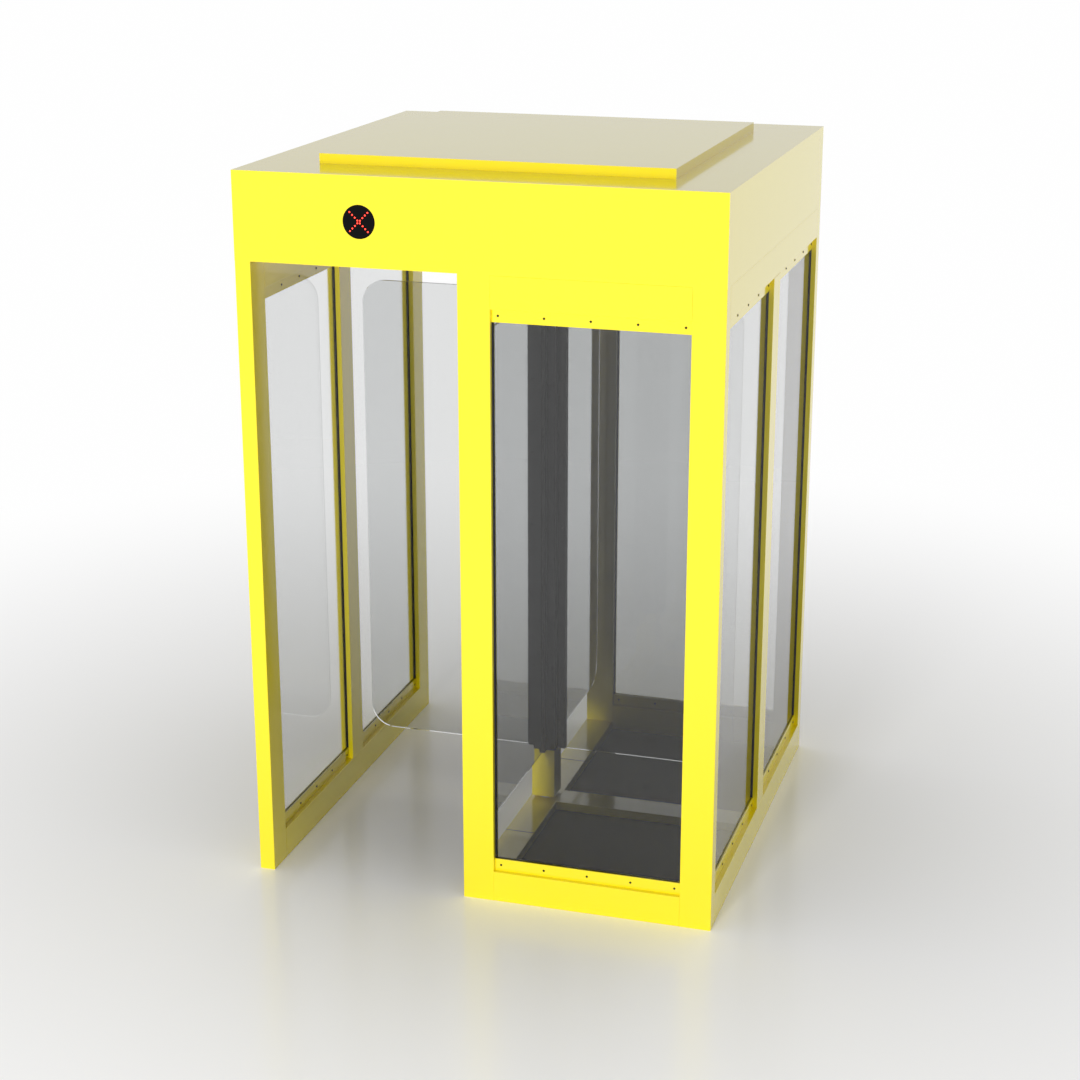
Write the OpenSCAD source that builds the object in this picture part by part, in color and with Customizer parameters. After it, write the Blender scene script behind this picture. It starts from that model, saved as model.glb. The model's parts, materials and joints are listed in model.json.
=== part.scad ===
// Full-height glass turnstile: a square cabin of 100 x 50 box section, glazed on
// three and a half sides, with a four-wing glass rotor on the centre line.
// Millimetres. X runs to the right seen from the entrance, Y from the entrance to
// the exit, Z up. The origin is on the floor, on the rotor's axis.

/* [Cabin] */
// Outside width of the cabin
body_w = 1500; // [1400:10:1800]
// Outside depth of the cabin
body_d = 1500; // [1400:10:1800]
// Clear height under the header
clear_h = 2000; // [1900:10:2400]
// Height of the header box
header_h = 270; // [180:5:400]

/* [Frame] */
// Wide side of the frame section
section_w = 100; // [60:5:120]
// Narrow side of the frame section, which is the wall's thickness
section_t = 50; // [40:5:70]
// Wall of the frame section
section_wall = 3; // [2:0.5:5]
// Height of the bottom and top rails
rail_h = 100; // [60:5:140]
// Radius of the section's long edges
edge_r = 1.5; // [1:0.5:2]
// Thickness of the plate that closes the foot of a post
foot_t = 5; // [3:1:10]

/* [Glazing] */
// Thickness of the fixed panes, which stand in the middle of the wall
pane_t = 10; // [8:1:12]
// Height of a glazing strip
strip_h = 40; // [25:1:60]
// Thickness of a glazing strip
strip_t = 5; // [3:0.5:8]
// Gap between a pane and the frame round it
pane_fit = 0.5; // [0.3:0.1:0.9]
// Gap between a pane and the strip that holds it
strip_fit = 0.3; // [0.2:0.1:0.8]

/* [Header] */
// Thickness of the header's sheet
sheet_t = 2; // [1.5:0.5:4]
// Side of the square service cover in the middle of the roof
cover_side = 1100; // [600:10:1200]
// Height of the service cover
cover_h = 30; // [20:1:60]

/* [Indicator] */
// Diameter of the round signal lamp
lamp_d = 100; // [60:5:140]
// Depth of the lamp's body
lamp_depth = 24; // [15:1:40]
// Gap round the lamp in its hole
lamp_fit = 0.3; // [0.2:0.1:0.8]

/* [Base] */
// Width of the low rails on the floor
kerb_w = 100; // [80:5:120]
// Height of the low rails on the floor
kerb_h = 35; // [25:1:50]
// Thickness of the black floor plates
plate_t = 6; // [4:1:12]

/* [Rotor] */
// Side of the square rotor column
column_side = 80; // [60:5:100]
// Wall of the rotor column
column_wall = 4; // [3:0.5:6]
// Gap between a wing's outer edge and the walls it passes
wing_gap = 60; // [40:5:200]
// Height of the wings' lower edge above the floor
wing_low = 220; // [100:5:300]
// Gap between the wings' upper edge and the ceiling
wing_head_gap = 190; // [60:5:300]
// Thickness of the wing glass
wing_t = 10; // [8:1:12]
// Radius of the wings' outer corners
wing_corner = 80; // [20:5:120]
// How far a clamp stands out from the column
clamp_reach = 30; // [12:1:40]
// Thickness of one clamp jaw
clamp_t = 8; // [5:1:12]
// Gap between the wing glass and its clamp or the column
wing_fit = 0.3; // [0.2:0.1:0.8]

/* [Bearings] */
// Diameter of the rotor's pin and shaft
shaft_d = 36; // [25:1:45]
// Radial running clearance of the pin and shaft
shaft_fit = 0.05; // [0.01:0.01:0.1]
// Gap between the column's ends and what lies above and below
column_gap = 6; // [5:1:10]
// Thickness of the collar round the lower pin
collar_t = 4; // [3:1:8]
// Side of the upper bearing block
bearing_side = 120; // [100:5:160]
// Height of the upper bearing block
bearing_h = 40; // [30:1:60]

/* [Hidden] */

FRONT = -1;
REAR = 1;
LEFT = -1;
RIGHT = 1;
$fn = 64;

yellow = "yellow";
black = [0.12, 0.12, 0.12];
steel = "silver";
glass = [0.6, 0.65, 0.65, 0.4];

half_w = body_w / 2;
half_d = body_d / 2;
in_w = half_w - section_t;            // from the axis to the inside face of a side wall
in_d = half_d - section_t;            // from the axis to the inside face of an end wall
half_section = section_w / 2;
rail_low_top = rail_h;
rail_high_bottom = clear_h - rail_h;
light_h = rail_high_bottom - rail_low_top;
pane_inset = (section_t - pane_t) / 2;
outer_strip_inset = pane_inset - strip_fit - strip_t;
inner_strip_inset = pane_inset + pane_t + strip_fit;
roof_z = clear_h + header_h;
fascia_h = header_h - sheet_t;
lamp_z = clear_h + header_h / 2;
lamp_x = (half_section - half_w) / 2;   // midway from the corner to the far side of the middle post
lamp_flange = 8;                      // how far the lamp's flange reaches past its hole
lamp_flange_t = 3;
collar_d = shaft_d + 20;
column_low = kerb_h + collar_t + column_gap;
column_high = clear_h - column_gap;
plug_h = 30;                          // length of the blocks that close the column's ends
pin_high = column_low + plug_h - column_gap;
shaft_hole_d = shaft_d + 24;          // hole in the ceiling round the shaft
shaft_high = clear_h + sheet_t + bearing_h + 10;
column_half = column_side / 2;
wing_r = min(in_w, in_d) - wing_gap;   // radius that the wings sweep
wing_high = clear_h - wing_head_gap;
wing_h = wing_high - wing_low;

// ---- box sections ----------------------------------------------------------

// A rectangle with rounded corners, with one corner at the origin.
module rounded_outline(size_x, size_y) {
    r = edge_r;
    translate([r, 0])
        square([size_x - 2 * r, size_y]);
    translate([0, r])
        square([size_x, size_y - 2 * r]);
    for (x = [r, size_x - r], y = [r, size_y - r])
        translate([x, y])
            circle(r = r, $fn = 24);
}

module hollow_outline(size_x, size_y) {
    wall = section_wall;
    difference() {
        rounded_outline(size_x, size_y);
        translate([wall, wall])
            square([size_x - 2 * wall, size_y - 2 * wall]);
    }
}

// A full-height upright with its corner at x, y, closed by a plate in its foot.
module post(x, y, size_x, size_y) {
    wall = section_wall;
    color(yellow)
    translate([x, y, 0])
    difference() {
        linear_extrude(height = clear_h)
            rounded_outline(size_x, size_y);
        translate([wall, wall, foot_t])
            cube([size_x - 2 * wall, size_y - 2 * wall, clear_h]);
    }
}

// A short upright between two rails, open at both ends.
module mullion(side) {
    color(yellow)
    translate([side_x(side), -half_section, rail_low_top])
        linear_extrude(height = light_h)
            hollow_outline(section_t, section_w);
}

// A rail along X from x0 to x1, with its near face at y.
module rail_x(x0, x1, y, z, depth, height) {
    color(yellow)
    translate([x0, y, z])
    rotate([90, 0, 90])
        linear_extrude(height = x1 - x0)
            hollow_outline(depth, height);
}

// A rail along Y from y0 to y1, with its left face at x.
module rail_y(y0, y1, x, z, depth, height) {
    color(yellow)
    translate([x, y1, z])
    rotate([90, 0, 0])
        linear_extrude(height = y1 - y0)
            hollow_outline(depth, height);
}

// ---- walls -----------------------------------------------------------------

// Corner of an end wall's piece: the outside face is at the front or the rear.
function end_y(end) = end == FRONT ? -half_d : in_d;
function side_x(side) = side == LEFT ? -half_w : in_w;

module left_post(end) {
    post(-half_w, end == FRONT ? -half_d : half_d - section_w, section_t, section_w);
}

module mid_post(end) {
    post(-half_section, end_y(end), section_w, section_t);
}

module right_post(end) {
    post(half_w - section_w, end_y(end), section_w, section_t);
}

module end_rail(end, z) {
    rail_x(half_section, half_w - section_w, end_y(end), z, section_t, rail_h);
}

// The left wall's rails run between posts set edge-on, the right wall's between
// posts set face-on, so the right wall's lights are wider.
function side_light_end(side) = side == LEFT ? half_d - section_w : in_d;

module side_rail(side, z) {
    rail_y(-side_light_end(side), side_light_end(side), side_x(side), z, section_t, rail_h);
}

// ---- glazing ---------------------------------------------------------------

// A fixed pane in an end wall.
module end_pane(end) {
    inner = half_d - pane_inset - pane_t;
    color(glass)
    translate([half_section + pane_fit, end == FRONT ? -half_d + pane_inset : inner, rail_low_top + pane_fit])
        cube([half_w - section_w - half_section - 2 * pane_fit, pane_t, light_h - 2 * pane_fit]);
}

// The two fixed panes of a side wall, one each side of the mullion.
module side_panes(side) {
    inner = half_w - pane_inset - pane_t;
    x = side == LEFT ? -half_w + pane_inset : inner;
    length = side_light_end(side) - half_section - 2 * pane_fit;
    color(glass)
    for (y = [-side_light_end(side) + pane_fit, half_section + pane_fit])
        translate([x, y, rail_low_top + pane_fit])
            cube([pane_t, length, light_h - 2 * pane_fit]);
}

// Heights at which the lower and upper glazing strips start.
strip_zs = [rail_low_top, rail_high_bottom - strip_h];

// Depths of the outer and inner strips' near faces behind the wall's outside face.
strip_insets = [outer_strip_inset, inner_strip_inset];

module end_strips(end) {
    color(yellow)
    for (z = strip_zs, inset = strip_insets)
        translate([half_section, end == FRONT ? -half_d + inset : half_d - inset - strip_t, z])
            cube([half_w - section_w - half_section, strip_t, strip_h]);
}

module side_strips(side) {
    length = side_light_end(side) - half_section;
    color(yellow)
    for (z = strip_zs, inset = strip_insets, y = [-side_light_end(side), half_section])
        translate([side == LEFT ? -half_w + inset : half_w - inset - strip_t, y, z])
            cube([strip_t, length, strip_h]);
}

// ---- header ----------------------------------------------------------------

// A fascia across the front or rear, with the hole for its signal lamp.
module end_fascia(end) {
    y = end == FRONT ? -half_d : half_d - sheet_t;
    color(yellow)
    difference() {
        translate([-half_w, y, clear_h])
            cube([body_w, sheet_t, fascia_h]);
        translate([lamp_x, y - 1, lamp_z])
            rotate([-90, 0, 0])
                cylinder(d = lamp_d + 2 * lamp_fit, h = sheet_t + 2);
    }
}

module side_fascia(side) {
    color(yellow)
    translate([side == LEFT ? -half_w : half_w - sheet_t, -half_d + sheet_t, clear_h])
        cube([sheet_t, body_d - 2 * sheet_t, fascia_h]);
}

module roof_panel() {
    color(yellow)
    translate([-half_w, -half_d, roof_z - sheet_t])
        cube([body_w, body_d, sheet_t]);
}

module ceiling_panel() {
    color(yellow)
    difference() {
        translate([-half_w + sheet_t, -half_d + sheet_t, clear_h])
            cube([body_w - 2 * sheet_t, body_d - 2 * sheet_t, sheet_t]);
        translate([0, 0, clear_h - 1])
            cylinder(d = shaft_hole_d, h = sheet_t + 2);
    }
}

// The service cover, a sheet tray turned upside down on the roof.
module roof_cover() {
    color(yellow)
    translate([-cover_side / 2, -cover_side / 2, roof_z])
    difference() {
        cube([cover_side, cover_side, cover_h]);
        translate([sheet_t, sheet_t, -1])
            cube([cover_side - 2 * sheet_t, cover_side - 2 * sheet_t, cover_h - sheet_t + 1]);
    }
}

// The signal lamp: a round lens flush with the fascia and a flange behind it.
module indicator(end) {
    color(black)
    translate([lamp_x, end == FRONT ? -half_d : half_d, lamp_z])
    rotate([end == FRONT ? -90 : 90, 0, 0]) {
        cylinder(d = lamp_d, h = lamp_depth);
        translate([0, 0, sheet_t + lamp_fit])
            cylinder(d = lamp_d + 2 * lamp_flange, h = lamp_flange_t);
    }
}

// ---- base ------------------------------------------------------------------

module long_kerb() {
    rail_y(-in_d, in_d, -kerb_w / 2, 0, kerb_w, kerb_h);
}

module cross_kerb() {
    rail_x(kerb_w / 2, in_w, -kerb_w / 2, 0, kerb_w, kerb_h);
}

// A floor plate in the front or rear half of the closed bay.
module floor_plate(end) {
    length = in_d - kerb_w / 2;
    color(black)
    translate([kerb_w / 2, end == FRONT ? -in_d : kerb_w / 2, 0])
        cube([in_w - kerb_w / 2, length, plate_t]);
}

// ---- rotor and its bearings ------------------------------------------------

module lower_pivot() {
    color(steel)
    translate([0, 0, kerb_h])
    union() {
        cylinder(d = collar_d, h = collar_t);
        cylinder(d = shaft_d, h = pin_high - kerb_h);
    }
}

module upper_bearing() {
    color(steel)
    translate([0, 0, clear_h + sheet_t])
    difference() {
        translate([-bearing_side / 2, -bearing_side / 2, 0])
            cube([bearing_side, bearing_side, bearing_h]);
        translate([0, 0, -1])
            cylinder(d = shaft_d + 2 * shaft_fit, h = bearing_h + 2);
    }
}

// Square tube with a bored block in its foot and a shaft on its head.
module rotor_column() {
    inner = column_side - 2 * column_wall;
    color(yellow)
    difference() {
        union() {
            translate([-column_half, -column_half, column_low])
                cube([column_side, column_side, column_high - column_low]);
            translate([0, 0, column_high - plug_h])
                cylinder(d = shaft_d, h = shaft_high - column_high + plug_h);
        }
        translate([-inner / 2, -inner / 2, column_low + plug_h])
            cube([inner, inner, column_high - column_low - 2 * plug_h]);
        translate([0, 0, column_low - 1])
            cylinder(d = shaft_d + 2 * shaft_fit, h = plug_h + 2);
    }
}

// One wing's outline, reaching along +X, with round outer corners.
module wing_outline() {
    start = column_half + wing_fit;
    length = wing_r - start;
    corner_x = wing_r - wing_corner;
    translate([start, wing_low])
        square([length - wing_corner, wing_h]);
    translate([start, wing_low + wing_corner])
        square([length, wing_h - 2 * wing_corner]);
    for (z = [wing_low + wing_corner, wing_high - wing_corner])
        translate([corner_x, z])
            circle(r = wing_corner);
}

module wing(angle) {
    color(glass)
    rotate([0, 0, angle])
    translate([0, wing_t / 2, 0])
    rotate([90, 0, 0])
        linear_extrude(height = wing_t)
            wing_outline();
}

// Two jaws for each wing, one each side of the glass.
module wing_clamps() {
    color(yellow)
    for (angle = [0 : 90 : 270])
        rotate([0, 0, angle])
            for (side = [0, 1])
                mirror([0, side, 0])
                    translate([column_half, wing_t / 2 + wing_fit, wing_low])
                        cube([clamp_reach, clamp_t, wing_h]);
}

// ---- the nodes -------------------------------------------------------------

left_post(FRONT);  // front_left_post
left_post(REAR);  // rear_left_post
mullion(LEFT);  // left_mullion
side_rail(LEFT, 0);  // left_bottom_rail
side_rail(LEFT, rail_high_bottom);  // left_top_rail
mid_post(FRONT);  // front_mid_post
right_post(FRONT);  // front_right_post
end_rail(FRONT, 0);  // front_bottom_rail
end_rail(FRONT, rail_high_bottom);  // front_top_rail
mid_post(REAR);  // rear_mid_post
right_post(REAR);  // rear_right_post
end_rail(REAR, 0);  // rear_bottom_rail
end_rail(REAR, rail_high_bottom);  // rear_top_rail
mullion(RIGHT);  // right_mullion
side_rail(RIGHT, 0);  // right_bottom_rail
side_rail(RIGHT, rail_high_bottom);  // right_top_rail
end_pane(FRONT);  // front_pane
end_pane(REAR);  // rear_pane
side_panes(LEFT);  // left_panes
side_panes(RIGHT);  // right_panes
end_strips(FRONT);  // front_strips
end_strips(REAR);  // rear_strips
side_strips(LEFT);  // left_strips
side_strips(RIGHT);  // right_strips
end_fascia(FRONT);  // front_fascia
end_fascia(REAR);  // rear_fascia
side_fascia(LEFT);  // left_fascia
side_fascia(RIGHT);  // right_fascia
roof_panel();
ceiling_panel();
roof_cover();
indicator(FRONT);  // front_indicator
indicator(REAR);  // rear_indicator
long_kerb();
cross_kerb();
floor_plate(FRONT);  // front_floor_plate
floor_plate(REAR);  // rear_floor_plate
lower_pivot();
upper_bearing();
rotor_column();
wing_clamps();
wing(180);  // left_wing
wing(0);  // right_wing
wing(270);  // front_wing
wing(90);  // rear_wing
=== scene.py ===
"""Looks of a full-height glass turnstile cabin, laid out as a Blender add-on and run as a script.

Every length is in metres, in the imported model's own frame: X to the right seen from the
entrance, Y from the entrance to the exit, Z up, with the origin on the floor under the rotor.
"""

import json
import math

import bmesh
import bpy
from mathutils import Matrix, Vector


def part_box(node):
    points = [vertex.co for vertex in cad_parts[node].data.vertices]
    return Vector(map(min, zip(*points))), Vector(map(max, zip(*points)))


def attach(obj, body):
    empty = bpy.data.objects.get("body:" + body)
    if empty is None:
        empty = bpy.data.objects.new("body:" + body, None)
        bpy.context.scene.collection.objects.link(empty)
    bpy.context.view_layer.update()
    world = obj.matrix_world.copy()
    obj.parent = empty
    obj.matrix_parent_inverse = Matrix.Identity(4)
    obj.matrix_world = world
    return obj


bl_info = {
    "name": "Glass Turnstile Cabin",
    "version": (1, 0, 0),
    "blender": (4, 5, 0),
    "location": "3D View > Sidebar > Turnstile",
    "description": "Finishes and fine details for a full-height glass turnstile cabin",
    "category": "Object",
}

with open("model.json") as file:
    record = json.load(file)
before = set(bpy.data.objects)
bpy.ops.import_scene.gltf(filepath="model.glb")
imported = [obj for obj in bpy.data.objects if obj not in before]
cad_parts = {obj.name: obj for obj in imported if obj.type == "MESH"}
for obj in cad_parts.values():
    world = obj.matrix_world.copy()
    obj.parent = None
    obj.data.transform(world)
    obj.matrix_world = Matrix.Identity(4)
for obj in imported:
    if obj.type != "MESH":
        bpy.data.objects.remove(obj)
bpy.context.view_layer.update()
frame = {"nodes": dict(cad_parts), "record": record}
NODES = frame["nodes"]

CABIN = "cabin"
ROTOR = "rotor"
WALLS = ("front", "rear", "left", "right")
MM = 0.001

WHITE = (1.0, 1.0, 1.0, 1.0)
EYE_WHITE = 0.995  # strength of white that shows just short of full white
WELD_GAP = 0.01 * MM
PANE_FIT = 0.5 * MM  # gap between a pane's edge and its post
STRIP_SCREW_HEIGHT = 1.6 * MM
CLAMP_SCREW_RADIUS = 5 * MM
CLAMP_SCREW_HEIGHT = 2.5 * MM
JOINT_WIDTH = 4 * MM
JOINT_RISE = 0.2 * MM
FLOOR_HALF_SIDE = 150.0
KEY_PLACE = (-0.6, -11.0, 2.4)
KEY_AIM = (0.0, 0.0, 1.2)
KEY_SIDE = 1.6
OVERHEAD_HEIGHT = 7.0
OVERHEAD_DIAMETER = 10.0


# ---- Colour and material helpers ----------------------------------------------------


def linear(hex_colour):
    """A linear RGB triple for an sRGB colour written as #RRGGBB."""
    parts = [int(hex_colour[i : i + 2], 16) / 255 for i in (1, 3, 5)]
    return tuple(c / 12.92 if c <= 0.04045 else ((c + 0.055) / 1.055) ** 2.4 for c in parts)


def add_node(tree, kind, inputs=None, **settings):
    """Adds a shader node, sets its attributes, and fills or links its inputs."""
    node = tree.nodes.new(kind)
    for name, value in settings.items():
        setattr(node, name, value)
    for name, value in (inputs or {}).items():
        if isinstance(value, bpy.types.NodeSocket):
            tree.links.new(value, node.inputs[name])
        else:
            node.inputs[name].default_value = value
    return node


def new_material(name):
    """An empty node material with its output, ready for a shader."""
    material = bpy.data.materials.new(name)
    material.use_nodes = True
    material.node_tree.nodes.clear()
    output = add_node(material.node_tree, "ShaderNodeOutputMaterial")
    return material, material.node_tree, output


def opaque(colour):
    return (*colour, 1.0)


# ---- Materials ----------------------------------------------------------------------


def gloss_enamel():
    """Steel sprayed with gloss enamel and baked: a mirror-like skin over a full yellow.

    Sprayed paint levels to a faint orange peel, with waves 1 to 3 mm across. They are drawn
    9 mm across and very shallow, so that they just trouble the reflections close up.
    """
    colours = bpy.context.scene.turnstile_colours
    material, tree, output = new_material("Gloss enamel on steel")
    where = add_node(tree, "ShaderNodeTexCoord")
    peel = add_node(
        tree,
        "ShaderNodeTexNoise",
        {"Vector": where.outputs["Object"], "Scale": 1 / (9 * MM), "Detail": 2.0},
    )
    thickness = add_node(
        tree,
        "ShaderNodeTexNoise",
        {"Vector": where.outputs["Object"], "Scale": 2.5, "Detail": 3.0},
    )
    tone = add_node(
        tree,
        "ShaderNodeMapRange",
        {"Value": thickness.outputs["Fac"], "To Min": 0.985, "To Max": 1.015},
    )
    colour = add_node(
        tree,
        "ShaderNodeHueSaturation",
        {"Value": tone.outputs["Result"], "Color": opaque(colours.enamel)},
    )
    gloss = add_node(
        tree,
        "ShaderNodeMapRange",
        {"Value": peel.outputs["Fac"], "To Min": 0.10, "To Max": 0.16},
    )
    bump = add_node(
        tree,
        "ShaderNodeBump",
        {"Height": peel.outputs["Fac"], "Strength": 0.02, "Distance": 0.2 * MM},
    )
    shader = add_node(
        tree,
        "ShaderNodeBsdfPrincipled",
        {
            "Base Color": colour.outputs["Color"],
            "Roughness": gloss.outputs["Result"],
            "Normal": bump.outputs["Normal"],
            "IOR": 1.5,
            "Coat Weight": 0.5,
            "Coat Roughness": 0.05,
        },
    )
    tree.links.new(shader.outputs["BSDF"], output.inputs["Surface"])
    return material


def toughened_glass():
    """Toughened float glass, rolled flat in a furnace: clear, faintly smoky, with mirror faces.

    The rollers leave a wave about 250 mm long that bends what it mirrors very slightly.
    """
    colours = bpy.context.scene.turnstile_colours
    material, tree, output = new_material("Toughened float glass")
    where = add_node(tree, "ShaderNodeTexCoord")
    wave = add_node(
        tree,
        "ShaderNodeTexNoise",
        {"Vector": where.outputs["Object"], "Scale": 1 / (250 * MM), "Detail": 0.0},
    )
    bump = add_node(
        tree,
        "ShaderNodeBump",
        {"Height": wave.outputs["Fac"], "Strength": 0.01, "Distance": 0.2 * MM},
    )
    shader = add_node(
        tree,
        "ShaderNodeBsdfPrincipled",
        {
            "Base Color": opaque(colours.glass),
            "Roughness": 0.0,
            "IOR": 1.5,
            "Transmission Weight": 1.0,
            "Normal": bump.outputs["Normal"],
        },
    )
    tree.links.new(shader.outputs["BSDF"], output.inputs["Surface"])
    return material


def pebbled_rubber():
    """Moulded black rubber with a fine pebbled face: matt, with a dusty grey sheen at a low angle.

    The pebbles of a real mat are about 1 mm across, and are drawn 4 mm across so that they show.
    """
    colours = bpy.context.scene.turnstile_colours
    material, tree, output = new_material("Moulded black rubber")
    where = add_node(tree, "ShaderNodeTexCoord")
    pebbles = add_node(
        tree,
        "ShaderNodeTexVoronoi",
        {"Vector": where.outputs["Object"], "Scale": 1 / (4 * MM)},
    )
    dust = add_node(
        tree,
        "ShaderNodeTexNoise",
        {"Vector": where.outputs["Object"], "Scale": 6.0, "Detail": 5.0},
    )
    tone = add_node(
        tree,
        "ShaderNodeMapRange",
        {"Value": dust.outputs["Fac"], "To Min": 0.8, "To Max": 1.25},
    )
    colour = add_node(
        tree,
        "ShaderNodeHueSaturation",
        {"Value": tone.outputs["Result"], "Color": opaque(colours.rubber)},
    )
    bump = add_node(
        tree,
        "ShaderNodeBump",
        {"Height": pebbles.outputs["Distance"], "Strength": 0.35, "Distance": 0.5 * MM},
    )
    shader = add_node(
        tree,
        "ShaderNodeBsdfPrincipled",
        {
            "Base Color": colour.outputs["Color"],
            "Roughness": 0.6,
            "Specular IOR Level": 0.2,
            "Normal": bump.outputs["Normal"],
        },
    )
    tree.links.new(shader.outputs["BSDF"], output.inputs["Surface"])
    return material


def polished_acrylic():
    """Cast black acrylic with a polished face: near black, with sharp highlights."""
    colours = bpy.context.scene.turnstile_colours
    material, tree, output = new_material("Polished black acrylic")
    where = add_node(tree, "ShaderNodeTexCoord")
    smears = add_node(
        tree,
        "ShaderNodeTexNoise",
        {"Vector": where.outputs["Object"], "Scale": 30.0, "Detail": 4.0},
    )
    gloss = add_node(
        tree,
        "ShaderNodeMapRange",
        {"Value": smears.outputs["Fac"], "To Min": 0.1, "To Max": 0.16},
    )
    shader = add_node(
        tree,
        "ShaderNodeBsdfPrincipled",
        {
            "Base Color": opaque(colours.lens),
            "Roughness": gloss.outputs["Result"],
            "Specular IOR Level": 0.1,
        },
    )
    tree.links.new(shader.outputs["BSDF"], output.inputs["Surface"])
    return material


def lit_diode():
    """A red light-emitting diode that is on: bright in the middle, deep red at its rim."""
    colours = bpy.context.scene.turnstile_colours
    material, tree, output = new_material("Lit red diode")
    rim = add_node(tree, "ShaderNodeLayerWeight", {"Blend": 0.35})
    glow = add_node(
        tree,
        "ShaderNodeMix",
        {
            "Factor": rim.outputs["Facing"],
            "A": opaque(colours.diode_core),
            "B": opaque(colours.diode),
        },
        data_type="RGBA",
    )
    shader = add_node(
        tree,
        "ShaderNodeBsdfPrincipled",
        {
            "Base Color": opaque(colours.diode),
            "Roughness": 0.3,
            "Emission Color": glow.outputs["Result"],
            "Emission Strength": 2.5,
        },
    )
    tree.links.new(shader.outputs["BSDF"], output.inputs["Surface"])
    return material


def black_oxide():
    """Blackened steel screws: dark, slightly oily, with a soft highlight on the edges."""
    colours = bpy.context.scene.turnstile_colours
    material, tree, output = new_material("Black oxide steel")
    where = add_node(tree, "ShaderNodeTexCoord")
    grain = add_node(
        tree,
        "ShaderNodeTexNoise",
        {"Vector": where.outputs["Object"], "Scale": 1 / (1.5 * MM), "Detail": 2.0},
    )
    gloss = add_node(
        tree,
        "ShaderNodeMapRange",
        {"Value": grain.outputs["Fac"], "To Min": 0.3, "To Max": 0.5},
    )
    shader = add_node(
        tree,
        "ShaderNodeBsdfPrincipled",
        {
            "Base Color": opaque(colours.black_steel),
            "Metallic": 1.0,
            "Roughness": gloss.outputs["Result"],
        },
    )
    tree.links.new(shader.outputs["BSDF"], output.inputs["Surface"])
    return material


def turned_steel():
    """Bright steel off the lathe: fine rings round the axis, drawn 2 mm apart."""
    colours = bpy.context.scene.turnstile_colours
    material, tree, output = new_material("Turned steel")
    where = add_node(tree, "ShaderNodeTexCoord")
    rings = add_node(
        tree,
        "ShaderNodeTexWave",
        {"Vector": where.outputs["Object"], "Scale": 1 / (6.3 * MM), "Distortion": 0.3},
        wave_type="RINGS",
        rings_direction="Z",
    )
    bump = add_node(
        tree,
        "ShaderNodeBump",
        {"Height": rings.outputs["Fac"], "Strength": 0.2, "Distance": 0.05 * MM},
    )
    shader = add_node(
        tree,
        "ShaderNodeBsdfPrincipled",
        {
            "Base Color": opaque(colours.steel),
            "Metallic": 1.0,
            "Roughness": 0.28,
            "Normal": bump.outputs["Normal"],
        },
    )
    tree.links.new(shader.outputs["BSDF"], output.inputs["Surface"])
    return material


def silicone():
    """Black glazing silicone, tooled with a wet finger: soft sheen, slightly uneven."""
    colours = bpy.context.scene.turnstile_colours
    material, tree, output = new_material("Black glazing silicone")
    where = add_node(tree, "ShaderNodeTexCoord")
    ripple = add_node(
        tree,
        "ShaderNodeTexNoise",
        {"Vector": where.outputs["Object"], "Scale": 1 / (15 * MM), "Detail": 2.0},
    )
    bump = add_node(
        tree,
        "ShaderNodeBump",
        {"Height": ripple.outputs["Fac"], "Strength": 0.3, "Distance": 0.3 * MM},
    )
    shader = add_node(
        tree,
        "ShaderNodeBsdfPrincipled",
        {
            "Base Color": opaque(colours.silicone),
            "Roughness": 0.45,
            "Normal": bump.outputs["Normal"],
        },
    )
    tree.links.new(shader.outputs["BSDF"], output.inputs["Surface"])
    return material


def powder_coat():
    """Aluminium with a fine black powder coat: satin, and a little uneven where hands have been."""
    colours = bpy.context.scene.turnstile_colours
    material, tree, output = new_material("Black powder coat")
    where = add_node(tree, "ShaderNodeTexCoord")
    handling = add_node(
        tree,
        "ShaderNodeTexNoise",
        {"Vector": where.outputs["Object"], "Scale": 1 / (40 * MM), "Detail": 3.0},
    )
    gloss = add_node(
        tree,
        "ShaderNodeMapRange",
        {"Value": handling.outputs["Fac"], "To Min": 0.38, "To Max": 0.5},
    )
    shader = add_node(
        tree,
        "ShaderNodeBsdfPrincipled",
        {
            "Base Color": opaque(colours.powder),
            "Roughness": gloss.outputs["Result"],
            "Specular IOR Level": 0.3,
        },
    )
    tree.links.new(shader.outputs["BSDF"], output.inputs["Surface"])
    return material


MATERIAL_MAKERS = {
    "powder_coat": powder_coat,
    "enamel": gloss_enamel,
    "glass": toughened_glass,
    "rubber": pebbled_rubber,
    "acrylic": polished_acrylic,
    "diode": lit_diode,
    "black_steel": black_oxide,
    "steel": turned_steel,
    "silicone": silicone,
}
_made_materials = {}


def finish_of(name):
    """The material of that name, made when it is first asked for."""
    if name not in _made_materials:
        _made_materials[name] = MATERIAL_MAKERS[name]()
    return _made_materials[name]


# ---- Mesh helpers -------------------------------------------------------------------


def piece_from(mesh_builder, name, body, finish, smooth_angle=30.0):
    """Turns a bmesh into a piece that rides on a body and has one finish."""
    mesh = bpy.data.meshes.new(name)
    mesh_builder.to_mesh(mesh)
    mesh_builder.free()
    mesh.materials.append(finish_of(finish))
    piece = bpy.data.objects.new(name, mesh)
    bpy.context.scene.collection.objects.link(piece)
    mesh.shade_smooth()
    mesh.set_sharp_from_angle(angle=math.radians(smooth_angle))
    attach(piece, body)
    return piece


def repaint(node, finish):
    """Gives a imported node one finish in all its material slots."""
    mesh = NODES[node].data
    mesh.materials.clear()
    mesh.materials.append(finish_of(finish))


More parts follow.
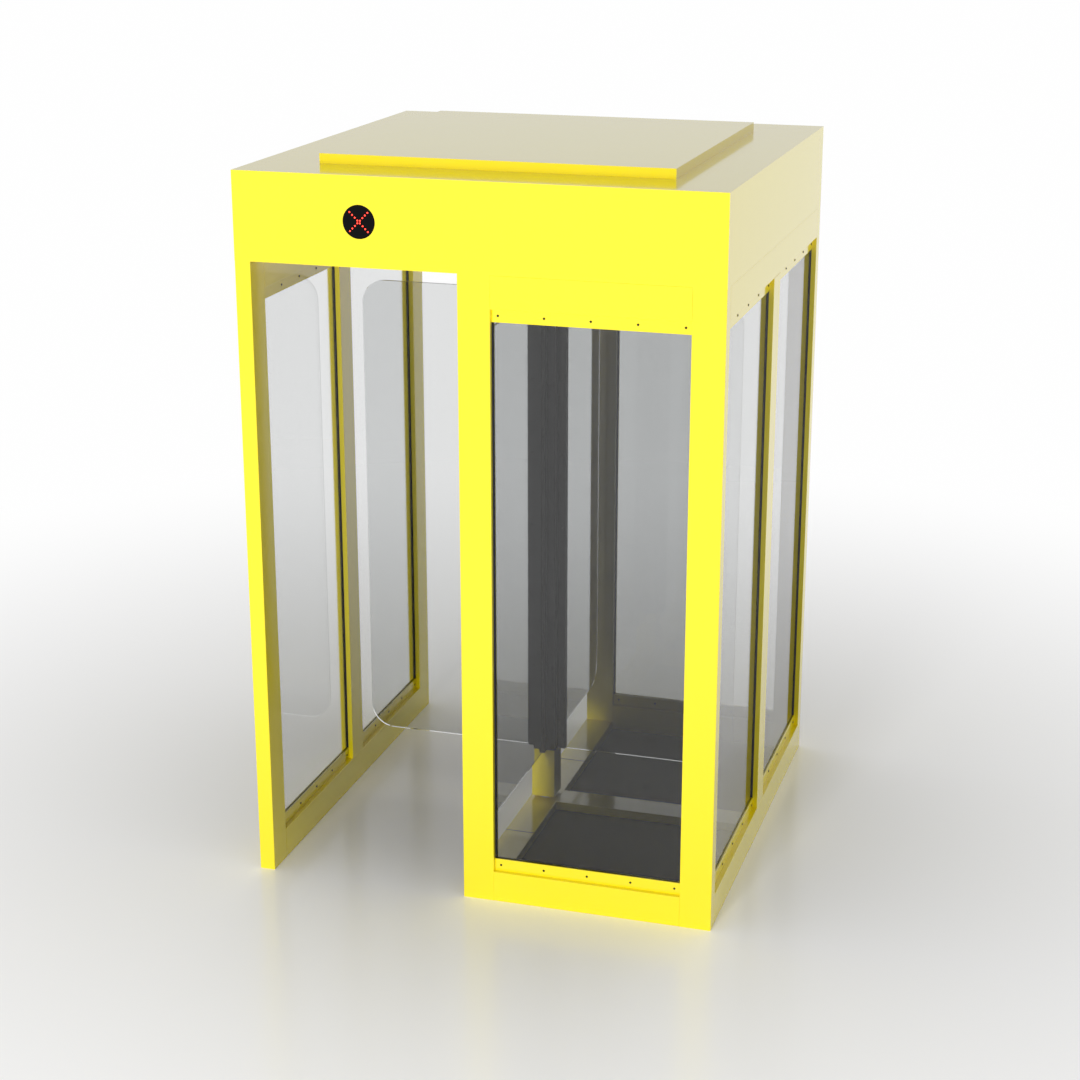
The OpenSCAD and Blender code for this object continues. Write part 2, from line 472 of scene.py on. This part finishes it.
def soften_edges(node, width):
    """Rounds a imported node's sharp edges a little with modifiers, so that they catch the light."""
    part = NODES[node]
    weld = part.modifiers.new("Weld", "WELD")
    weld.merge_threshold = WELD_GAP
    bevel = part.modifiers.new("Bevel", "BEVEL")
    bevel.width = width
    bevel.segments = 2
    bevel.limit_method = "ANGLE"
    bevel.angle_limit = math.radians(60)
    bevel.harden_normals = True


def facing(direction):
    """A turn that takes +Z to the given direction."""
    return Vector((0, 0, 1)).rotation_difference(Vector(direction)).to_matrix().to_4x4()


def add_ring_verts(mesh_builder, profile, place, steps):
    """Adds one ring of vertices about +Z for each (radius, height) pair, set down by a matrix."""
    rings = []
    for radius, height in profile:
        ring = []
        for i in range(steps):
            angle = 2 * math.pi * i / steps
            point = Vector((radius * math.cos(angle), radius * math.sin(angle), height))
            ring.append(mesh_builder.verts.new(place @ point))
        rings.append(ring)
    return rings


def join_rings(mesh_builder, low, high):
    """Adds the band of faces between two rings of vertices."""
    steps = len(low)
    for i in range(steps):
        j = (i + 1) % steps
        mesh_builder.faces.new((low[i], low[j], high[j], high[i]))


def add_open_lathe(mesh_builder, profile, place, steps):
    """Adds a turned skin that is closed at its first ring, and returns its open last ring."""
    rings = add_ring_verts(mesh_builder, profile, place, steps)
    for low, high in zip(rings, rings[1:]):
        join_rings(mesh_builder, low, high)
    mesh_builder.faces.new(reversed(rings[0]))
    return rings[-1]


def add_lathe(mesh_builder, profile, place, steps):
    """Adds a solid turned about +Z, closed at both ends."""
    mesh_builder.faces.new(add_open_lathe(mesh_builder, profile, place, steps))


def add_bar(mesh_builder, low, high):
    """Adds a box between two corners."""
    size = Vector(high) - Vector(low)
    middle = (Vector(high) + Vector(low)) / 2
    place = Matrix.Translation(middle) @ Matrix.Diagonal((*size, 1))
    bmesh.ops.create_cube(mesh_builder, size=1.0, matrix=place)


def add_socket_screw(mesh_builder, place, head_r, head_h):
    """Adds a low round head with a rounded rim and a hexagonal socket."""
    socket_r = head_r * 0.45
    socket_depth = head_h * 0.6
    profile = [
        (head_r, 0),
        (head_r, head_h * 0.55),
        (head_r * 0.92, head_h * 0.85),
        (head_r * 0.78, head_h),
    ]
    steps = 18
    rim = add_open_lathe(mesh_builder, profile, place, steps)
    inner = []
    floor = []
    for i in range(steps):
        angle = 2 * math.pi * i / steps
        sector = math.pi / 3
        off = (angle % sector) - sector / 2
        radius = socket_r * math.cos(sector / 2) / math.cos(off)
        across = Vector((radius * math.cos(angle), radius * math.sin(angle), head_h))
        inner.append(mesh_builder.verts.new(place @ across))
        floor.append(mesh_builder.verts.new(place @ (across - Vector((0, 0, socket_depth)))))
    for i in range(steps):
        j = (i + 1) % steps
        mesh_builder.faces.new((rim[i], rim[j], inner[j], inner[i]))
        mesh_builder.faces.new((inner[i], inner[j], floor[j], floor[i]))
    mesh_builder.faces.new(floor)


# ---- Sizes and colours --------------------------------------------------------------


class TurnstileSizes(bpy.types.PropertyGroup):
    """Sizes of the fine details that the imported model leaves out."""

    edge_softening: bpy.props.FloatProperty(
        name="Edge softening",
        description="Radius on the edges of the glazing strips",
        default=0.8 * MM,
        unit="LENGTH",
    )
    screws_per_strip: bpy.props.IntProperty(
        name="Screws in a strip",
        description="Number of screws that hold one glazing strip",
        default=5,
        min=2,
    )
    screw_head: bpy.props.FloatProperty(
        name="Screw head",
        description="Diameter of a glazing strip's screw head",
        default=7 * MM,
        unit="LENGTH",
    )
    screw_end: bpy.props.FloatProperty(
        name="Screw end distance",
        description="Distance from a strip's end to its first screw",
        default=20 * MM,
        unit="LENGTH",
    )
    seal_width: bpy.props.FloatProperty(
        name="Seal width",
        description="Width of the silicone bead between a pane and its frame",
        default=4 * MM,
        unit="LENGTH",
    )
    diode_pitch: bpy.props.FloatProperty(
        name="Diode pitch",
        description="Distance between the diodes in the signal lamp's cross",
        default=8 * MM,
        unit="LENGTH",
    )
    diode_size: bpy.props.FloatProperty(
        name="Diode diameter",
        description="Diameter of one diode",
        default=5 * MM,
        unit="LENGTH",
    )
    diodes_across: bpy.props.IntProperty(
        name="Diodes in an arm",
        description="Diodes along each stroke of the cross, an even number",
        default=8,
        min=2,
    )
    kerb_joint: bpy.props.FloatProperty(
        name="Kerb joint",
        description="Distance from the rotor's axis to each joint in the long kerb",
        default=310 * MM,
        unit="LENGTH",
    )
    # The column covers are black sheets whose black also paints shade on the yellow column.
    cover_thickness: bpy.props.FloatProperty(
        name="Column cover thickness",
        description="Thickness of the black covers on the rotor's column",
        default=1.5 * MM,
        unit="LENGTH",
    )
    clamp_screw_pitch: bpy.props.FloatProperty(
        name="Clamp screw pitch",
        description="Distance between the screws that close a wing's clamp",
        default=250 * MM,
        unit="LENGTH",
    )


class TurnstileColours(bpy.types.PropertyGroup):
    """Colours of the finishes, as the maker would choose them."""

    enamel: bpy.props.FloatVectorProperty(
        name="Enamel",
        description="Yellow of the frame and header",
        subtype="COLOR",
        default=linear("#F4E116"),
    )
    glass: bpy.props.FloatVectorProperty(
        name="Glass",
        description="What a pane lets through",
        subtype="COLOR",
        default=linear("#DFE0E0"),
    )
    rubber: bpy.props.FloatVectorProperty(
        name="Rubber",
        description="Colour of the floor plates",
        subtype="COLOR",
        default=linear("#0E0E0F"),
    )
    lens: bpy.props.FloatVectorProperty(
        name="Lamp lens",
        description="Colour of the signal lamp's face",
        subtype="COLOR",
        default=linear("#050506"),
    )
    diode: bpy.props.FloatVectorProperty(
        name="Diode",
        description="Colour of a lit diode",
        subtype="COLOR",
        default=linear("#FF1E14"),
    )
    diode_core: bpy.props.FloatVectorProperty(
        name="Diode core",
        description="Colour in the middle of a lit diode",
        subtype="COLOR",
        default=linear("#FF4A38"),
    )
    black_steel: bpy.props.FloatVectorProperty(
        name="Blackened steel",
        description="Colour of the screws",
        subtype="COLOR",
        default=linear("#2E2C2A"),
    )
    steel: bpy.props.FloatVectorProperty(
        name="Bright steel",
        description="Colour of the pivots",
        subtype="COLOR",
        default=linear("#C4C4C2"),
    )
    powder: bpy.props.FloatVectorProperty(
        name="Powder coat",
        description="Colour of the clamps and covers on the rotor's column",
        subtype="COLOR",
        default=linear("#161617"),
    )
    silicone: bpy.props.FloatVectorProperty(
        name="Silicone",
        description="Colour of the seals round the panes",
        subtype="COLOR",
        default=linear("#0E0E0F"),
    )


class TurnstileStage(bpy.types.PropertyGroup):
    """The view and the light of the studio."""

    azimuth: bpy.props.FloatProperty(
        name="Azimuth",
        description="Turn of the camera round the cabin, to the right of the entrance",
        subtype="ANGLE",
        default=math.radians(16.84),
    )
    elevation: bpy.props.FloatProperty(
        name="Elevation",
        description="How far down the camera looks",
        subtype="ANGLE",
        default=math.radians(17.93),
    )
    distance: bpy.props.FloatProperty(
        name="Distance",
        description="From the camera to the point it looks at",
        default=7.2608,
        unit="LENGTH",
    )
    aim: bpy.props.FloatVectorProperty(
        name="Aim",
        description="Point that the camera looks at",
        subtype="TRANSLATION",
        default=(-0.0056, -0.0634, 0.9808),
    )
    lens: bpy.props.FloatProperty(
        name="Lens",
        description="Focal length on a 36 mm sensor, in millimetres",
        default=72.93,
    )
    key_power: bpy.props.FloatProperty(
        name="Key power",
        description="Power of the large soft light in front of the entrance, in watts",
        default=740.0,
    )
    floor_power: bpy.props.FloatProperty(
        name="Floor power",
        description="Power of the wide light that only the floor receives, in watts",
        default=240.0,
    )
    ambient: bpy.props.FloatProperty(
        name="Ambient",
        description="Strength of the light from the white room",
        default=0.46,
    )
    mirrored: bpy.props.FloatProperty(
        name="Mirrored room",
        description="Strength of the white room where gloss mirrors it",
        default=0.85,
    )


# ---- Operators ----------------------------------------------------------------------


class TURNSTILE_OT_stage(bpy.types.Operator):
    """Set up the camera, the pale floor, the white room and the soft lights"""

    bl_idname = "turnstile.stage"
    bl_label = "Stage"

    def execute(self, context):
        stage = context.scene.turnstile_stage
        self.make_camera(context, stage)
        self.make_floor(context)
        self.make_room(context, stage)
        self.make_lights(context, stage)
        context.scene.view_settings.view_transform = "Standard"
        context.scene.cycles.caustics_refractive = False
        context.scene.cycles.caustics_reflective = False
        return {"FINISHED"}

    def make_camera(self, context, stage):
        data = bpy.data.cameras.new("Camera")
        data.lens = stage.lens
        data.sensor_width = 36.0
        data.clip_end = 400.0
        camera = bpy.data.objects.new("Camera", data)
        context.scene.collection.objects.link(camera)
        back = Vector(
            (
                math.sin(stage.azimuth) * math.cos(stage.elevation),
                -math.cos(stage.azimuth) * math.cos(stage.elevation),
                math.sin(stage.elevation),
            )
        )
        camera.location = Vector(stage.aim) + back * stage.distance
        camera.rotation_euler = (math.pi / 2 - stage.elevation, 0.0, stage.azimuth)
        context.scene.camera = camera

    def make_floor(self, context):
        """A polished pale floor that fades into the white of the room far from the cabin."""
        builder = bmesh.new()
        bmesh.ops.create_grid(builder, x_segments=1, y_segments=1, size=FLOOR_HALF_SIDE)
        mesh = bpy.data.meshes.new("StageFloor")
        builder.to_mesh(mesh)
        builder.free()
        floor = bpy.data.objects.new("StageFloor", mesh)
        context.scene.collection.objects.link(floor)
        material, tree, output = new_material("Polished pale floor")
        where = add_node(tree, "ShaderNodeTexCoord")
        reach = add_node(
            tree,
            "ShaderNodeVectorMath",
            {0: where.outputs["Object"]},
            operation="LENGTH",
        )
        fade = add_node(
            tree,
            "ShaderNodeMapRange",
            {"Value": reach.outputs["Value"], "From Min": 0.9, "From Max": 4.4},
            interpolation_type="SMOOTHSTEP",
        )
        near = add_node(
            tree,
            "ShaderNodeBsdfPrincipled",
            {
                "Base Color": opaque(linear("#EDEDED")),
                "Roughness": 0.2,
                "IOR": 1.45,
            },
        )
        far = add_node(tree, "ShaderNodeEmission", {"Color": WHITE, "Strength": EYE_WHITE})
        mixed = add_node(
            tree,
            "ShaderNodeMixShader",
            {0: fade.outputs["Result"], 1: near.outputs["BSDF"], 2: far.outputs["Emission"]},
        )
        tree.links.new(mixed.outputs["Shader"], output.inputs["Surface"])
        mesh.materials.append(material)

    def make_room(self, context, stage):
        """An even white room: bright to the eye, softer as a light, and separate in mirrors."""
        world = bpy.data.worlds.new("WhiteRoom")
        world.use_nodes = True
        tree = world.node_tree
        tree.nodes.clear()
        output = add_node(tree, "ShaderNodeOutputWorld")
        path = add_node(tree, "ShaderNodeLightPath")
        light, mirror, seen = (
            add_node(tree, "ShaderNodeBackground", {"Color": WHITE, "Strength": strength})
            for strength in (stage.ambient, stage.mirrored, EYE_WHITE)
        )
        glossy = add_node(
            tree,
            "ShaderNodeMixShader",
            {
                0: path.outputs["Is Glossy Ray"],
                1: light.outputs["Background"],
                2: mirror.outputs["Background"],
            },
        )
        direct = add_node(
            tree,
            "ShaderNodeMath",
            {0: path.outputs["Is Camera Ray"], 1: path.outputs["Is Transmission Ray"]},
            operation="MAXIMUM",
        )
        both = add_node(
            tree,
            "ShaderNodeMixShader",
            {
                0: direct.outputs["Value"],
                1: glossy.outputs["Shader"],
                2: seen.outputs["Background"],
            },
        )
        tree.links.new(both.outputs["Shader"], output.inputs["Surface"])
        context.scene.world = world

    def make_lights(self, context, stage):
        """A soft box ahead of the entrance, and a wide one overhead that lights only the floor."""
        data = bpy.data.lights.new("KeyLight", "AREA")
        data.shape = "RECTANGLE"
        data.size = KEY_SIDE
        data.size_y = KEY_SIDE
        data.energy = stage.key_power
        key = bpy.data.objects.new("KeyLight", data)
        context.scene.collection.objects.link(key)
        key.location = KEY_PLACE
        aim = Vector(KEY_AIM) - key.location
        key.rotation_euler = aim.to_track_quat("-Z", "Y").to_euler()
        key.visible_glossy = False
        data = bpy.data.lights.new("FloorLight", "AREA")
        data.shape = "DISK"
        data.size = OVERHEAD_DIAMETER
        data.energy = stage.floor_power
        overhead = bpy.data.objects.new("FloorLight", data)
        context.scene.collection.objects.link(overhead)
        overhead.location = (0.0, 0.0, OVERHEAD_HEIGHT)
        overhead.visible_glossy = False
        lit = bpy.data.collections.new("FloorLit")
        lit.objects.link(bpy.data.objects["StageFloor"])
        overhead.light_linking.receiver_collection = lit


class TURNSTILE_OT_frame(bpy.types.Operator):
    """Finish the box sections, rails, header sheets, kerbs and column in gloss enamel"""

    bl_idname = "turnstile.frame"
    bl_label = "Frame and header"

    def execute(self, context):
        sizes = context.scene.turnstile_sizes
        slots = {row["node"]: row["material_slot"] for row in frame["record"]["subparts"]}
        for node, slot in slots.items():
            if slot == "yellow_enamel":
                repaint(node, "enamel")
        for wall in WALLS:
            soften_edges(f"{wall}_strips", sizes.edge_softening)
        return {"FINISHED"}


class TURNSTILE_OT_glass(bpy.types.Operator):
    """Finish the fixed panes and the wings as toughened glass"""

    bl_idname = "turnstile.glass"
    bl_label = "Glass"

    def execute(self, context):
        panes = [pane_node(wall) for wall in WALLS]
        wings = [f"{side}_wing" for side in WALLS]
        for node in panes + wings:
            repaint(node, "glass")
        return {"FINISHED"}


class TURNSTILE_OT_floor_plates(bpy.types.Operator):
    """Finish the two floor plates as moulded black rubber"""

    bl_idname = "turnstile.floor_plates"
    bl_label = "Floor plates"

    def execute(self, context):
        for node in ("front_floor_plate", "rear_floor_plate"):
            repaint(node, "rubber")
        return {"FINISHED"}


class TURNSTILE_OT_strip_screws(bpy.types.Operator):
    """Screw the glazing strips to the rails"""

    bl_idname = "turnstile.strip_screws"
    bl_label = "Glazing strip screws"

    def execute(self, context):
        sizes = context.scene.turnstile_sizes
        for wall in WALLS:
            builder = bmesh.new()
            for low, high in solids_of(f"{wall}_strips"):
                self.screw_strip(builder, wall, low, high, sizes)
            piece_from(builder, f"{wall}_strip_screws", CABIN, "black_steel")
        return {"FINISHED"}

    def screw_strip(self, builder, wall, low, high, sizes):
        along, across = axes_of(wall)
        middle = (low + high) / 2
        wall_middle = wall_centre(wall)
        outward = 1.0 if middle[across] > wall_middle else -1.0
        face = high[across] if outward > 0 else low[across]
        direction = Vector((0, 0, 0))
        direction[across] = outward
        count = sizes.screws_per_strip
        first = low[along] + sizes.screw_end
        step = (high[along] - low[along] - 2 * sizes.screw_end) / (count - 1)
        for i in range(count):
            spot = middle.copy()
            spot[along] = first + i * step
            spot[across] = face
            place = Matrix.Translation(spot) @ facing(direction)
            add_socket_screw(builder, place, sizes.screw_head / 2, STRIP_SCREW_HEIGHT)


def wall_centre(wall):
    """Where the middle of a wall's thickness lies, across the wall."""
    low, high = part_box(pane_node(wall))
    across = axes_of(wall)[1]
    return (low[across] + high[across]) / 2


def solids_of(node):
    """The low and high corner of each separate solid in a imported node."""
    builder = bmesh.new()
    builder.from_mesh(NODES[node].data)
    bmesh.ops.remove_doubles(builder, verts=builder.verts, dist=WELD_GAP)
    left = set(builder.verts)
    corners = []
    while left:
        group = []
        reach = [left.pop()]
        while reach:
            vertex = reach.pop()
            group.append(vertex.co.copy())
            for edge in vertex.link_edges:
                other = edge.other_vert(vertex)
                if other in left:
                    left.remove(other)
                    reach.append(other)
        low = Vector(min(p[i] for p in group) for i in range(3))
        high = Vector(max(p[i] for p in group) for i in range(3))
        corners.append((low, high))
    builder.free()
    return sorted(corners, key=lambda pair: tuple(round(x, 5) for x in pair[0]))


def narrow_side(low, high):
    """The two ends of a clamp jaw across the wing that it holds."""
    across = 0 if high.x - low.x < high.y - low.y else 1
    return low[across], high[across]


def pane_node(wall):
    """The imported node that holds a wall's fixed panes."""
    return f"{wall}_pane" if wall in ("front", "rear") else f"{wall}_panes"


def axes_of(wall):
    """The axis that a wall runs along and the axis across it, as indices."""
    return (0, 1) if wall in ("front", "rear") else (1, 0)


class TURNSTILE_OT_seals(bpy.types.Operator):
    """Run a bead of silicone down the upright edges of every fixed pane, on both faces"""

    bl_idname = "turnstile.seals"
    bl_label = "Glazing seals"

    def execute(self, context):
        width = context.scene.turnstile_sizes.seal_width
        for wall in WALLS:
            along, across = axes_of(wall)
            builder = bmesh.new()
            for low, high in solids_of(pane_node(wall)):
                for end in (0, 1):
                    for side in (0, 1):
                        self.add_bead(builder, (low, high), along, across, end, side, width)
            piece_from(builder, f"{wall}_glazing_seals", CABIN, "silicone", 60.0)
        return {"FINISHED"}

    def add_bead(self, builder, box, along, across, end, side, width):
        """A fillet with a hollow face, in the corner between a pane's face and its post."""
        low, high = box
        post = (high if end else low)[along] + (PANE_FIT if end else -PANE_FIT)
        glass = (high if side else low)[across]
        inward = -1.0 if end else 1.0
        outward = 1.0 if side else -1.0
        points = [(0.0, 0.0)]
        steps = 5
        for i in range(steps + 1):
            angle = math.pi / 2 * i / steps
            points.append((width * (1 - math.sin(angle)), width * (1 - math.cos(angle))))
        rings = []
        for height in (low.z, high.z):
            ring = []
            for a, b in points:
                spot = Vector((0, 0, height))
                spot[along] = post + inward * a
                spot[across] = glass + outward * b
                ring.append(builder.verts.new(spot))
            rings.append(ring)
        count = len(points)
        for i in range(count):
            j = (i + 1) % count
            builder.faces.new((rings[0][i], rings[0][j], rings[1][j], rings[1][i]))
        builder.faces.new(reversed(rings[0]))
        builder.faces.new(rings[1])
        bmesh.ops.recalc_face_normals(builder, faces=builder.faces)


class TURNSTILE_OT_signal_lamps(bpy.types.Operator):
    """Light a red cross of diodes in each signal lamp"""

    bl_idname = "turnstile.signal_lamps"
    bl_label = "Signal lamps"

    def execute(self, context):
        sizes = context.scene.turnstile_sizes
        for end, outward in (("front", -1.0), ("rear", 1.0)):
            node = f"{end}_indicator"
            repaint(node, "acrylic")
            low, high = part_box(node)
            middle = (low + high) / 2
            face = low.y if outward < 0 else high.y
            builder = bmesh.new()
            for across, up in self.cross(sizes.diodes_across, sizes.diode_pitch):
                spot = Vector((middle.x + across, face, middle.z + up))
                place = Matrix.Translation(spot) @ facing((0, outward, 0))
                self.add_diode(builder, place, sizes.diode_size / 2)
            piece_from(builder, f"{end}_signal_diodes", CABIN, "diode", 80.0)
        return {"FINISHED"}

    def cross(self, count, pitch):
        """The places on both diagonals of a square grid with an even number of rows."""
        for i in range(count):
            step = (i - (count - 1) / 2) * pitch
            yield step, step
            yield step, -step

    def add_diode(self, builder, place, radius):
        """A low dome, whose foot is sunk into the lens."""
        rise = 0.35
        rings = 4
        profile = [(radius, -0.3 * MM)]
        for i in range(rings + 1):
            angle = math.pi / 2 * i / rings
            profile.append((radius * max(math.cos(angle), 0.12), radius * rise * math.sin(angle)))
        add_lathe(builder, profile, place, 16)


class TURNSTILE_OT_rotor(bpy.types.Operator):
    """Blacken the clamps, screw them together on the wings and cover the column in black over the
    wings' height; this black also paints in the shade that the glass wings cast on the yellow column
    """

    bl_idname = "turnstile.rotor"
    bl_label = "Rotor details"

    def execute(self, context):
        sizes = context.scene.turnstile_sizes
        # Black clamps: their black also paints in the shade of the glass wings on the column.
        repaint("wing_clamps", "powder_coat")
        builder = bmesh.new()
        for low, high in solids_of("wing_clamps"):
            self.screw_clamp(builder, low, high, sizes.clamp_screw_pitch)
        piece_from(builder, "wing_clamp_screws", ROTOR, "black_steel")
        # Black covers over the wings' height: painted shade on the yellow column, as well as a
        # cladding.
        self.add_shade_covers(sizes.cover_thickness)
        return {"FINISHED"}

    def add_shade_covers(self, thick):
        """Thin black angles on the column's corners, between the clamps and as tall as the wings: a
        cladding whose black also paints in the shade that the glass wings cast on the yellow column.
        """
        low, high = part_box("rotor_column")
        clamps_low, clamps_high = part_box("wing_clamps")
        jaw = max(abs(x) for pair in solids_of("wing_clamps") for x in narrow_side(*pair))
        side = high.x
        builder = bmesh.new()
        for turn in range(4):
            spin = Matrix.Rotation(turn * math.pi / 2, 4, "Z")
            outline = [(jaw, side), (side, side), (side, jaw)]
            outline += [(side + thick, jaw), (side + thick, side + thick), (jaw, side + thick)]
            rings = []
            for z in (clamps_low.z, clamps_high.z):
                rings.append([builder.verts.new(spin @ Vector((x, y, z))) for x, y in outline])
            for i in range(6):
                j = (i + 1) % 6
                builder.faces.new((rings[0][i], rings[0][j], rings[1][j], rings[1][i]))
            builder.faces.new(rings[0])
            builder.faces.new(rings[1])
        bmesh.ops.recalc_face_normals(builder, faces=builder.faces)
        piece_from(builder, "column_shade_covers", ROTOR, "powder_coat")

    def screw_clamp(self, builder, low, high, pitch):
        middle = (low + high) / 2
        size = high - low
        across = 0 if size.x < size.y else 1
        outward = 1.0 if middle[across] > 0 else -1.0
        face = high[across] if outward > 0 else low[across]
        direction = Vector((0, 0, 0))
        direction[across] = outward
        count = int(size.z / pitch) + 1
        first = middle.z - (count - 1) * pitch / 2
        for i in range(count):
            spot = middle.copy()
            spot[across] = face
            spot.z = first + i * pitch
            place = Matrix.Translation(spot) @ facing(direction)
            add_socket_screw(builder, place, CLAMP_SCREW_RADIUS, CLAMP_SCREW_HEIGHT)


class TURNSTILE_OT_pivots(bpy.types.Operator):
    """Finish the pivots, joint the long kerb and trim the shaft's hole in the ceiling"""

    bl_idname = "turnstile.pivots"
    bl_label = "Pivots and kerb"

    def execute(self, context):
        for node in ("lower_pivot", "upper_bearing"):
            repaint(node, "steel")
        self.joint_kerb(context.scene.turnstile_sizes.kerb_joint)
        low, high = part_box("ceiling_panel")
        builder = bmesh.new()
        inner, outer, thick = 23 * MM, 48 * MM, 2.5 * MM
        profile = [
            (inner, low.z),
            (inner, low.z - thick),
            (outer - 1.5 * MM, low.z - thick),
            (outer, low.z - thick * 0.4),
            (outer, low.z),
        ]
        add_ring(builder, profile, 48)
        piece_from(builder, "shaft_trim_ring", CABIN, "steel", 40.0)
        return {"FINISHED"}

    def joint_kerb(self, offset):
        """Dark lines where the long kerb's covers meet, drawn 4 mm wide and just proud of it."""
        low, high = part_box("long_kerb")
        builder = bmesh.new()
        for y in (-offset, offset):
            add_bar(
                builder,
                (low.x, y - JOINT_WIDTH / 2, high.z - JOINT_RISE),
                (high.x, y + JOINT_WIDTH / 2, high.z + JOINT_RISE),
            )
        piece_from(builder, "long_kerb_joints", CABIN, "silicone")


def add_ring(builder, profile, steps):
    """Adds a closed ring about the rotor's axis from (radius, height) pairs."""
    rings = add_ring_verts(builder, profile, Matrix.Identity(4), steps)
    for low, high in zip(rings, rings[1:] + rings[:1]):
        join_rings(builder, low, high)
    bmesh.ops.recalc_face_normals(builder, faces=builder.faces)


# ---- Panel and registration ---------------------------------------------------------

OPERATORS = (
    TURNSTILE_OT_stage,
    TURNSTILE_OT_frame,
    TURNSTILE_OT_glass,
    TURNSTILE_OT_floor_plates,
    TURNSTILE_OT_strip_screws,
    TURNSTILE_OT_seals,
    TURNSTILE_OT_signal_lamps,
    TURNSTILE_OT_rotor,
    TURNSTILE_OT_pivots,
)


class TURNSTILE_PT_panel(bpy.types.Panel):
    """The turnstile's pieces, in the order that they are made"""

    bl_idname = "TURNSTILE_PT_panel"
    bl_label = "Glass turnstile"
    bl_space_type = "VIEW_3D"
    bl_region_type = "UI"
    bl_category = "Turnstile"

    def draw(self, context):
        for operator in OPERATORS:
            self.layout.operator(operator.bl_idname)
        for group in PROPERTY_GROUPS:
            settings = getattr(context.scene, group)
            box = self.layout.box()
            for name in settings.bl_rna.properties.keys():
                if name not in ("rna_type", "name"):
                    box.prop(settings, name)


PROPERTY_GROUPS = {
    "turnstile_sizes": TurnstileSizes,
    "turnstile_colours": TurnstileColours,
    "turnstile_stage": TurnstileStage,
}


def register():
    for name, group in PROPERTY_GROUPS.items():
        bpy.utils.register_class(group)
        setattr(bpy.types.Scene, name, bpy.props.PointerProperty(type=group))
    for operator in OPERATORS:
        bpy.utils.register_class(operator)
    bpy.utils.register_class(TURNSTILE_PT_panel)


def unregister():
    bpy.utils.unregister_class(TURNSTILE_PT_panel)
    for operator in reversed(OPERATORS):
        bpy.utils.unregister_class(operator)
    for name, group in PROPERTY_GROUPS.items():
        delattr(bpy.types.Scene, name)
        bpy.utils.unregister_class(group)


def main():
    register()
    for operator in OPERATORS:
        module, name = operator.bl_idname.split(".")
        getattr(getattr(bpy.ops, module), name)()


if __name__ == "__main__":
    main()
